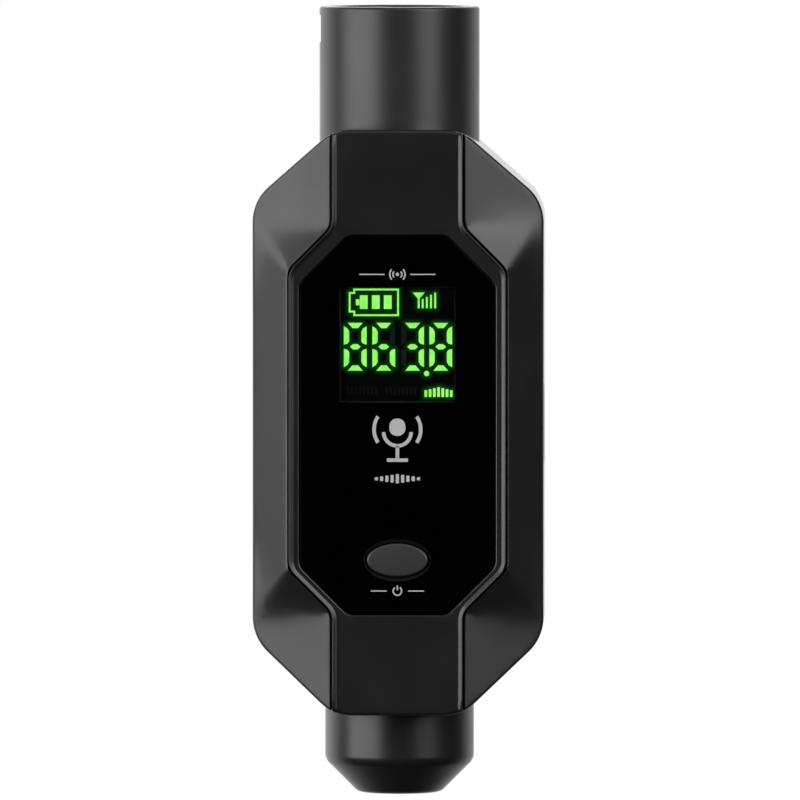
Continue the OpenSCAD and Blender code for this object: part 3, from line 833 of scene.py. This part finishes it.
def glow_film(face, shapes, hollow):
    """A film over the display whose glow attribute fades away from each lit shape."""
    count = 110
    side = np.linspace(-WINDOW_HALF, WINDOW_HALF, count)
    flat = np.array([(x, WINDOW_Z + z) for z in side for x in side])
    gap = np.full(len(flat), 9.0)
    for shape in shapes:
        near = distance(flat, shape)
        near[inside(flat, [shape])] = 0
        if shape is shapes[-1]:
            within = inside(flat, [hollow])
            near[within] = distance(flat[within], hollow)
        gap = np.minimum(gap, near)
    form = Form()
    rows = [form.add(deep(flat[k * count:(k + 1) * count], face - 0.02)) for k in range(count)]
    for low, high in zip(rows, rows[1:]):
        for i in range(count - 1):
            form.face((low[i], low[i + 1], high[i + 1], high[i]))
    rim = rows[0] + [r[-1] for r in rows[1:-1]] + rows[-1][::-1] + [r[0] for r in rows[-2:0:-1]]
    edge = [form.points[i] for i in rim]
    foot = [(x, face - 0.005, z) for x, _, z in edge]
    form.band([edge, foot])
    form.cap(foot)
    film = form.build("display_glow")
    co = np.array([v.co[:] for v in film.data.vertices]) / MM
    glow = np.exp(-(gap / 0.28) ** 2)
    place = (co[:, [0, 2]] + (WINDOW_HALF, WINDOW_HALF - WINDOW_Z)) / (side[1] - side[0])
    column, row = np.clip(np.rint(place), 0, count - 1).astype(int).T
    film.data.attributes.new("glow", "FLOAT", "POINT").data.foreach_set("value", glow[row * count + column])
    return film


def arc_band(cx, cz, radius, width, start, end, count=14):
    """Outline of a curved stroke round (cx, cz) between two angles in degrees."""
    turns = np.radians(np.linspace(start, end, count))
    sides = ((radius + width / 2, turns), (radius - width / 2, turns[::-1]))
    return np.array([(cx + r * math.cos(a), cz + r * math.sin(a)) for r, along in sides for a in along])


def printed_marks():
    """Generic pictograms printed on the lens: radio waves, a microphone and the standard power sign."""
    waves = [ellipse(0.2, 0.2, -31.4, 20)]
    for side in (0, 180):
        waves += [arc_band(0, -31.4, r, 0.17, side - 42, side + 42) for r in (0.52, 0.9)]
    waves += [ring(rectangle(1.5, 0.07, 0.06, x, -31.4), arc=3) for x in (-3.0, 3.0)]
    z = -49.9
    capsule = [(0.95, z - 0.55, 0.9), (0.95, z + 1.5, 0.9), (-0.95, z + 1.5, 0.9), (-0.95, z - 0.55, 0.9)]
    grille = [ring(capsule, arc=8)]
    cradle = [arc_band(0, z - 0.1, 1.62, 0.42, 180, 360, 24)]
    stand = [ring(rectangle(0.21, 0.75, 0.05, 0, z - 2.5), arc=3),
             ring(rectangle(1.25, 0.21, 0.1, 0, z - 3.4), arc=3)]
    beams = [arc_band(0, z + 0.2, 2.75, 0.42, side - 34, side + 34) for side in (0, 180)]
    level = [ring(rectangle(0.19, 0.55 - 0.09 * abs(k), 0.08, 0.62 * k, -55.5), arc=3) for k in range(-4, 5)]
    z = -68.75
    power = [arc_band(0, z, 0.5, 0.17, 125, 415, 28), ring(rectangle(0.085, 0.3, 0.05, 0, z + 0.38), arc=3)]
    power += [ring(rectangle(0.95, 0.07, 0.06, x, z), arc=3) for x in (-2.2, 2.2)]
    shown = (("mark_radio_waves", waves), ("mark_microphone", grille + cradle + stand + beams),
             ("mark_level_row", level), ("mark_power", power))
    return [plates(name, shapes, LENS_FRONT - 0.014, LENS_FRONT) for name, shapes in shown]


# ---- Plug and aerial cap ----

def xlr_shell():
    """The plug's round shell, with a rolled rim, the latch window and the key."""
    low = plug_low[2]
    seat_r = 7.0
    profile = ring([(BORE_R, PLUG_STEP, 0), (seat_r, PLUG_STEP, 0), (seat_r, low, 0.1), (TAIL_R, low, 0.15),
                    (TAIL_R, COLLAR_Z, 0), (BARREL_R, COLLAR_Z, 0), (BARREL_R, 0, RIM_R), (BORE_R, 0, 0.3)],
                   arc=7, step=40)
    piece = turned(profile, sides=144)
    window = ring(rectangle(2.0, 1.65, 0.35, 0, -2.65), arc=5)
    key = ring(rectangle(0.8, 1.1, 0.18, -BORE_R + 0.3, 0), arc=5)
    piece = carve(piece, ("UNION", prism(key, PLUG_STEP + 6, -5.5, "Z")))
    wings = ears(plug_high[0], COLLAR_Z, PLUG_EAR_TOP)
    wings = carve(wings, ("DIFFERENCE", rod(BARREL_R - 0.5, low, low + 6, (0, 0), "Z", 144)))
    piece = carve(piece, ("UNION", wings), ("DIFFERENCE", prism(window, -BARREL_R - 1, -7.3, "X")))
    piece.name = "xlr_shell_skin"
    return piece


def antenna_cap():
    """The cap over the aerial: a short cylinder with a soft shoulder and a 45 degree nose."""
    low, high, t = cap_low[2], cap_high[2], 1.4
    nose = low + CAP_NOSE
    profile = ring([(0, low, 0), (CAP_R - CAP_NOSE, low, 1.3), (CAP_R, nose, 1.7), (CAP_R, high, 0.2),
                    (CAP_R - t, high, 0.2), (CAP_R - t, nose + 0.6, 0.8),
                    (CAP_R - CAP_NOSE - 0.6, low + t, 0.8), (0, low + t, 0)], arc=9, step=40)
    piece = turned(profile, sides=144)
    wings = ears(cap_high[0], CAP_EAR_Z, high)
    wings = carve(wings, ("DIFFERENCE", rod(CAP_R - t / 2, high - 4, high + 4, (0, 0), "Z", 144)))
    piece = carve(piece, ("UNION", wings))
    piece.name = "antenna_cap_skin"
    return piece


# ---- Materials ----

def node(tree, kind, values=None, **settings):
    """Adds a shader node. Each value is a number or colour, or another node's output to link."""
    made = tree.nodes.new(kind)
    for key, value in settings.items():
        setattr(made, key, value)
    for key, value in (values or {}).items():
        if isinstance(value, bpy.types.NodeSocket):
            tree.links.new(value, made.inputs[key])
        else:
            made.inputs[key].default_value = value
    return made


def fresh(name):
    """A new material with its tree, its main shader and its object coordinates."""
    material = bpy.data.materials.new(name)
    material.use_nodes = True
    tree = material.node_tree
    place = node(tree, "ShaderNodeTexCoord").outputs["Object"]
    return material, tree, tree.nodes["Principled BSDF"], place


def mapped(tree, value, source, target):
    """Maps a value from one range onto another, and keeps it there."""
    return node(tree, "ShaderNodeMapRange", {"Value": value, "From Min": source[0], "From Max": source[1],
                                             "To Min": target[0], "To Max": target[1]}).outputs["Result"]


def spread(tree, value, low, high):
    """Maps a noise value onto a range."""
    return mapped(tree, value, (0.3, 0.7), (low, high))


def product(tree, a, b):
    return node(tree, "ShaderNodeMath", {0: a, 1: b}, operation="MULTIPLY").outputs["Value"]


def relief(tree, shader, height, strength, depth_mm):
    """Gives a shader fine relief from a height."""
    bump = node(tree, "ShaderNodeBump", {"Height": height, "Strength": strength, "Distance": depth_mm * MM})
    tree.links.new(bump.outputs["Normal"], shader.inputs["Normal"])


def grain(tree, place, size_mm, detail=2.0):
    """Fine noise whose features are about size_mm across."""
    noise = node(tree, "ShaderNodeTexNoise", {"Vector": place, "Scale": 1 / (size_mm * MM), "Detail": detail})
    return noise.outputs["Fac"]


def tinted(tree, base, amount, colour):
    """Mixes a colour over base by an amount."""
    mix = node(tree, "ShaderNodeMix", data_type="RGBA")
    for key, value in (("Factor", amount), ("A", base), ("B", colour)):
        socket = [s for s in mix.inputs if s.name == key and s.enabled][0]
        if isinstance(value, bpy.types.NodeSocket):
            tree.links.new(value, socket)
        else:
            socket.default_value = value
    return [s for s in mix.outputs if s.enabled][0]


def edges(tree, radius_mm):
    """1 on sharp edges and 0 on flats, from the difference between the rounded and the true normal."""
    bevel = node(tree, "ShaderNodeBevel", {"Radius": radius_mm * MM}, samples=4)
    true = node(tree, "ShaderNodeNewGeometry").outputs["Normal"]
    dot = node(tree, "ShaderNodeVectorMath", {0: bevel.outputs["Normal"], 1: true}, operation="DOT_PRODUCT")
    return mapped(tree, dot.outputs["Value"], (0.995, 0.9), (0.0, 1.0))


def moulded(name, colour, rough, size_mm, bump, wear=0.0, metallic=0.0, shine=0.5):
    """Moulded or painted surface: fine grain, drifting roughness, faint mottling, and edges lightened both as
    rubbed wear and as a painted edge highlight. It is glossier where it is seen at a slant."""
    material, tree, shader, place = fresh(name)
    fine = grain(tree, place, size_mm)
    broad = grain(tree, place, 9.0, 3.0)
    base = tinted(tree, (*colour, 1), spread(tree, broad, 0.0, 0.25), (*[c * 1.35 for c in colour], 1))
    roughness = spread(tree, broad, rough - 0.03, rough + 0.03)
    slant = node(tree, "ShaderNodeLayerWeight", {"Blend": 0.5}).outputs["Facing"]
    roughness = product(tree, roughness, mapped(tree, slant, (0.8, 1.0), (1.0, 0.4)))
    if wear:
        # Lightens sharp edges towards a pale tint: partly rubbed wear, partly a painted edge highlight.
        amount = product(tree, edges(tree, 0.25), wear)
        base = tinted(tree, base, amount, (*[min(c * 4 + 0.02, 1) for c in colour], 1))
    tree.links.new(base, shader.inputs["Base Color"])
    tree.links.new(roughness, shader.inputs["Roughness"])
    shader.inputs["Metallic"].default_value = metallic
    shader.inputs["Specular IOR Level"].default_value = shine
    relief(tree, shader, fine, bump, 0.02)
    return material


def brushed(name, colour, rough, along=(1, 1, 14)):
    """Bare metal with fine drawn lines and a little tarnish."""
    material, tree, shader, place = fresh(name)
    stretched = node(tree, "ShaderNodeMapping", {"Vector": place, "Scale": along}).outputs["Vector"]
    lines = grain(tree, stretched, 0.5, 4.0)
    tarnish = grain(tree, place, 3.0, 4.0)
    dull = (*[c * 0.72 for c in colour], 1)
    base = tinted(tree, (*colour, 1), spread(tree, tarnish, 0.0, 0.6), dull)
    tree.links.new(base, shader.inputs["Base Color"])
    tree.links.new(spread(tree, lines, rough - 0.08, rough + 0.12), shader.inputs["Roughness"])
    shader.inputs["Metallic"].default_value = 1.0
    relief(tree, shader, lines, 0.15, 0.01)
    return material


def board(name, colour):
    """Solder mask over copper: a grid of faint tracks with pads showing between them."""
    material, tree, shader, place = fresh(name)
    cells = node(tree, "ShaderNodeTexBrick", {"Vector": place, "Scale": 1 / (2.2 * MM), "Mortar Size": 0.06,
                                              "Brick Width": 1.3, "Row Height": 0.45})
    tree.links.new(tinted(tree, (*colour, 1), cells.outputs["Fac"], (*[c * 2.2 + 0.01 for c in colour], 1)),
                   shader.inputs["Base Color"])
    broad = grain(tree, place, 2.0)
    tree.links.new(spread(tree, broad, 0.22, 0.34), shader.inputs["Roughness"])
    relief(tree, shader, cells.outputs["Fac"], 0.4, 0.03)
    return material


def clear_window(name):
    """The unprinted part of the lens: tinted, clear, with a reflecting surface."""
    material, tree, shader, place = fresh(name)
    tree.nodes.remove(shader)
    smudge = spread(tree, grain(tree, place, 5.0, 3.0), 0.02, 0.05)
    through = node(tree, "ShaderNodeBsdfTransparent", {"Color": (0.82, 0.84, 0.83, 1)}).outputs["BSDF"]
    shine = node(tree, "ShaderNodeBsdfGlossy", {"Color": (1, 1, 1, 1), "Roughness": smudge}).outputs["BSDF"]
    facing = node(tree, "ShaderNodeFresnel", {"IOR": 1.4}).outputs["Fac"]
    mix = node(tree, "ShaderNodeMixShader", {0: facing, 1: through, 2: shine})
    tree.links.new(mix.outputs["Shader"], tree.nodes["Material Output"].inputs["Surface"])
    return material


def lit(name, colour, power):
    """A glowing segment, a little uneven like a backlit shutter."""
    material, tree, shader, place = fresh(name)
    uneven = grain(tree, place, 1.2, 2.0)
    shader.inputs["Base Color"].default_value = (0.02, 0.05, 0.02, 1)
    shader.inputs["Emission Color"].default_value = (*colour, 1)
    strength = spread(tree, uneven, power * 0.88, power * 1.12)
    tree.links.new(strength, shader.inputs["Emission Strength"])
    return material


def glow(name, colour, power):
    """Light spilling round the lit segments, faded by the film's own glow attribute."""
    material, tree, shader, place = fresh(name)
    amount = node(tree, "ShaderNodeAttribute", attribute_name="glow").outputs["Fac"]
    mesh_dots = grain(tree, place, 0.2)
    shader.inputs["Emission Color"].default_value = (*colour, 1)
    strength = product(tree, amount, spread(tree, mesh_dots, power * 0.85, power * 1.15))
    tree.links.new(strength, shader.inputs["Emission Strength"])
    tree.links.new(spread(tree, mesh_dots, 0.4, 0.5), shader.inputs["Roughness"])
    shader.inputs["Base Color"].default_value = (0.0045, 0.0046, 0.0048, 1)
    shader.inputs["Specular IOR Level"].default_value = 0.1
    return material


FINISHES = {}


def finish(kind, name, *values, **more):
    FINISHES[name] = kind(name, *values, **more)


# The wear values also lighten edges as a painted edge highlight, besides rubbed wear.
finish(moulded, "casing_plastic", (0.0095, 0.0095, 0.0100), 0.35, 0.14, 0.10, wear=0.10)
finish(moulded, "fascia_plastic", (0.0080, 0.0080, 0.0085), 0.32, 0.10, 0.05, wear=0.06)
finish(moulded, "lens_gloss", (0.0003, 0.0003, 0.0003), 0.06, 2.5, 0.01, shine=0.35)
finish(clear_window, "lens_window")
finish(moulded, "button_rubber", (0.032, 0.032, 0.033), 0.38, 0.10, 0.12)
finish(moulded, "plug_metal", (0.0150, 0.0150, 0.0158), 0.38, 0.09, 0.12, wear=0.2)
finish(moulded, "insert_plastic", (0.012, 0.012, 0.012), 0.5, 0.2, 0.2)
finish(brushed, "contact_metal", (0.78, 0.78, 0.80), 0.2)
finish(brushed, "copper_wire", (0.83, 0.44, 0.24), 0.3)
finish(moulded, "lead_grey", (0.35, 0.35, 0.36), 0.5, 0.2, 0.1)
finish(moulded, "lead_red", (0.45, 0.02, 0.02), 0.5, 0.2, 0.1)
finish(moulded, "display_glass", (0.0055, 0.0058, 0.0058), 0.25, 0.3, 0.02, shine=0.1)
finish(moulded, "black_foam", (0.02, 0.02, 0.02), 0.85, 0.25, 0.9)
finish(brushed, "sheet_metal", (0.62, 0.62, 0.64), 0.32)
finish(moulded, "white_plastic", (0.72, 0.70, 0.65), 0.45, 0.2, 0.1)
finish(board, "board_green", (0.01, 0.10, 0.04))
finish(board, "board_blue", (0.01, 0.06, 0.12))
finish(brushed, "screw_steel", (0.60, 0.60, 0.61), 0.3)
finish(moulded, "screw_black", (0.02, 0.02, 0.021), 0.35, 0.1, 0.2, wear=0.4, metallic=0.6)
finish(moulded, "chip_plastic", (0.015, 0.015, 0.016), 0.55, 0.1, 0.3)
finish(moulded, "capacitor_tan", (0.46, 0.32, 0.17), 0.5, 0.1, 0.2)
finish(brushed, "cell_foil", (0.66, 0.67, 0.69), 0.35, (1, 1, 2))
finish(moulded, "label_plastic", (0.030, 0.030, 0.032), 0.55, 0.3, 0.08)
finish(moulded, "silk_print", (0.40, 0.40, 0.41), 0.6, 0.06, 0.3)
finish(lit, "segment_lit", (0.33, 1.0, 0.16), 1.45)
finish(moulded, "segment_unlit", (0.034, 0.040, 0.036), 0.5, 0.1, 0.1, shine=0.2)
finish(moulded, "bar_unlit", (0.015, 0.0155, 0.016), 0.5, 0.1, 0.1, shine=0.2)
finish(moulded, "border_grey", (0.05, 0.05, 0.052), 0.5, 0.1, 0.1)
finish(glow, "glow_film", (0.02, 0.55, 0.03), 0.13)


# ---- Putting the pieces on the frame ----

def show(piece, body, slot, *materials, stands_for=()):
    """Gives a new piece its materials and its body, and hides the CAD nodes it stands for."""
    for name in materials or (slot,):
        piece.data.materials.append(FINISHES[name])
    weighted = piece.modifiers.new("weighted", "WEIGHTED_NORMAL")
    weighted.keep_sharp = True
    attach(piece, body)
    if stands_for:
        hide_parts(*stands_for)


show(front_shell(), "casing", "casing_plastic", stands_for=["front_shell"])
show(rear_shell(), "casing", "casing_plastic", stands_for=["rear_shell"])
show(front_fascia(), "casing", "fascia_plastic", stands_for=["front_fascia"])
show(display_lens(), "casing", "lens_gloss", "lens_gloss", "lens_window", "fascia_plastic",
     stands_for=["display_lens"])
show(power_button(), "button", "button_rubber", stands_for=["power_button"])
show(xlr_shell(), "casing", "plug_metal", stands_for=["xlr_shell"])
show(antenna_cap(), "casing", "casing_plastic", stands_for=["antenna_cap"])
for mark in printed_marks():
    show(mark, "casing", "lens_gloss", "silk_print")
DISPLAY_FINISHES = ("segment_lit", "segment_unlit", "bar_unlit", "border_grey", "glow_film")
for part, finish in zip(display_parts(), DISPLAY_FINISHES):
    show(part, "casing", "display_glass", finish)

SLOTS = {row["node"]: row["material_slot"] for row in frame["record"]["subparts"]}
BEVELS = {
    0.03: ("rear_label",),
    0.04: ("resistors",),
    0.05: ("main_board", "charger_chip", "receiver_module", "usb_port_tongue"),
    0.06: ("case_screws", "board_screws", "controller_chip", "codec_chip", "capacitors"),
    0.1: ("clock_crystal", "rf_shield_can", "battery_plug", "battery_pad", "switch_body"),
    0.4: ("battery_cell",),
}
WIDTHS = {name: width for width, names in BEVELS.items() for name in names}
for name, cad in frame["nodes"].items():
    if not cad.hide_render:
        cad.data.materials.clear()
        cad.data.materials.append(FINISHES[SLOTS[name]])
        if name in WIDTHS:
            soft = cad.modifiers.new("soft_edges", "BEVEL")
            soft.width = WIDTHS[name] * MM
            soft.segments = 2
            soft.limit_method = "ANGLE"
            soft.angle_limit = math.radians(40)
        cad.modifiers.new("weighted", "WEIGHTED_NORMAL").keep_sharp = True


# ---- Studio ----

def direction(azimuth, elevation):
    """A unit vector from the object: azimuth 0 points at the camera side, -Y, and 90 points along +X."""
    a, e = math.radians(azimuth), math.radians(elevation)
    return Vector((math.sin(a) * math.cos(e), -math.cos(a) * math.cos(e), math.sin(e)))


AIM = Vector((0, 0, -46.6)) * MM


def softbox(name, azimuth, elevation, away, width, height, power):
    """A rectangular light, in metres, aimed at the object."""
    light = bpy.data.lights.new(name, "AREA")
    light.shape = "RECTANGLE"
    light.size, light.size_y = width, height
    light.energy = power
    lamp = bpy.data.objects.new(name, light)
    bpy.context.scene.collection.objects.link(lamp)
    lamp.location = AIM + direction(azimuth, elevation) * away
    lamp.rotation_euler = (AIM - lamp.location).to_track_quat("-Z", "Y").to_euler()
    lamp.visible_camera = False
    return lamp


softbox("left_softbox", -57, 9, 0.9, 0.94, 0.72, 9.2)
softbox("right_softbox", 44, 23, 0.9, 0.5, 0.72, 5.9)
softbox("top_softbox", 0, 64, 0.9, 0.5, 0.4, 1.0)
softbox("rear_softbox", 180, 35, 1.0, 0.8, 0.5, 4.0)


def studio_world():
    """Plain white to the camera. To the object it is a bright backdrop that fades to a dark room in front."""
    world = bpy.data.worlds.new("studio")
    bpy.context.scene.world = world
    world.use_nodes = True
    tree = world.node_tree
    tree.nodes.clear()
    rays = node(tree, "ShaderNodeLightPath").outputs["Is Camera Ray"]
    way = node(tree, "ShaderNodeTexCoord").outputs["Generated"]
    parts = node(tree, "ShaderNodeSeparateXYZ", {"Vector": way}).outputs
    toward = node(tree, "ShaderNodeMath", {0: parts["X"], 1: -0.12, 2: parts["Y"]}, operation="MULTIPLY_ADD")
    behind = mapped(tree, toward.outputs["Value"], (0.24, 0.64), (0.006, 1.05))
    leaning = mapped(tree, parts["X"], (-0.8, 0.3), (1.55, 1.0))
    height = node(tree, "ShaderNodeMath", {0: parts["Z"]}, operation="ABSOLUTE").outputs["Value"]
    level = mapped(tree, height, (0.25, 0.7), (1.0, 0.35))
    strength = product(tree, product(tree, behind, leaning), level)
    to_object, to_camera = [node(tree, "ShaderNodeBackground", {"Color": (1, 1, 1, 1), "Strength": power})
                            .outputs["Background"] for power in (strength, 1.0)]
    mix = node(tree, "ShaderNodeMixShader", {0: rays, 1: to_object, 2: to_camera})
    out = node(tree, "ShaderNodeOutputWorld")
    tree.links.new(mix.outputs["Shader"], out.inputs["Surface"])


def floor():
    """A plain pale floor, seen only from above, that doesn't light the object."""
    form = Form()
    z = cad_box[0][2] / MM - 0.4
    form.cap([(x, y, z) for x, y in ellipse(700, 700, count=96)])
    piece = form.build("floor")
    material, tree, shader, place = fresh("pale_floor")
    tree.nodes.remove(shader)
    white = node(tree, "ShaderNodeEmission", {"Color": (1, 1, 1, 1), "Strength": 1.0}).outputs["Emission"]
    through = node(tree, "ShaderNodeBsdfTransparent").outputs["BSDF"]
    below = node(tree, "ShaderNodeNewGeometry").outputs["Incoming"]
    height = node(tree, "ShaderNodeSeparateXYZ", {"Vector": below}).outputs["Z"]
    up = node(tree, "ShaderNodeMath", {0: height, 1: 0.0}, operation="GREATER_THAN").outputs["Value"]
    mix = node(tree, "ShaderNodeMixShader", {0: up, 1: through, 2: white})
    tree.links.new(mix.outputs["Shader"], tree.nodes["Material Output"].inputs["Surface"])
    piece.data.materials.append(material)
    for ray in ("visible_diffuse", "visible_glossy", "visible_transmission", "visible_shadow"):
        setattr(piece, ray, False)


def camera():
    """A long lens 1.8 m away, a little above the object and to its right."""
    away, frame_w = 1.8, 94.94 * MM
    data = bpy.data.cameras.new("camera")
    data.lens = data.sensor_width * away / frame_w
    data.shift_x, data.shift_y = 0.00056, -0.00175
    data.clip_start, data.clip_end = 0.1, 10
    eye = bpy.data.objects.new("camera", data)
    bpy.context.scene.collection.objects.link(eye)
    eye.location = AIM + direction(1.15, 2.5) * away
    eye.rotation_euler = (AIM - eye.location).to_track_quat("-Z", "Y").to_euler()
    bpy.context.scene.camera = eye


studio_world()
floor()
camera()
bpy.context.scene.view_settings.view_transform = "Standard"
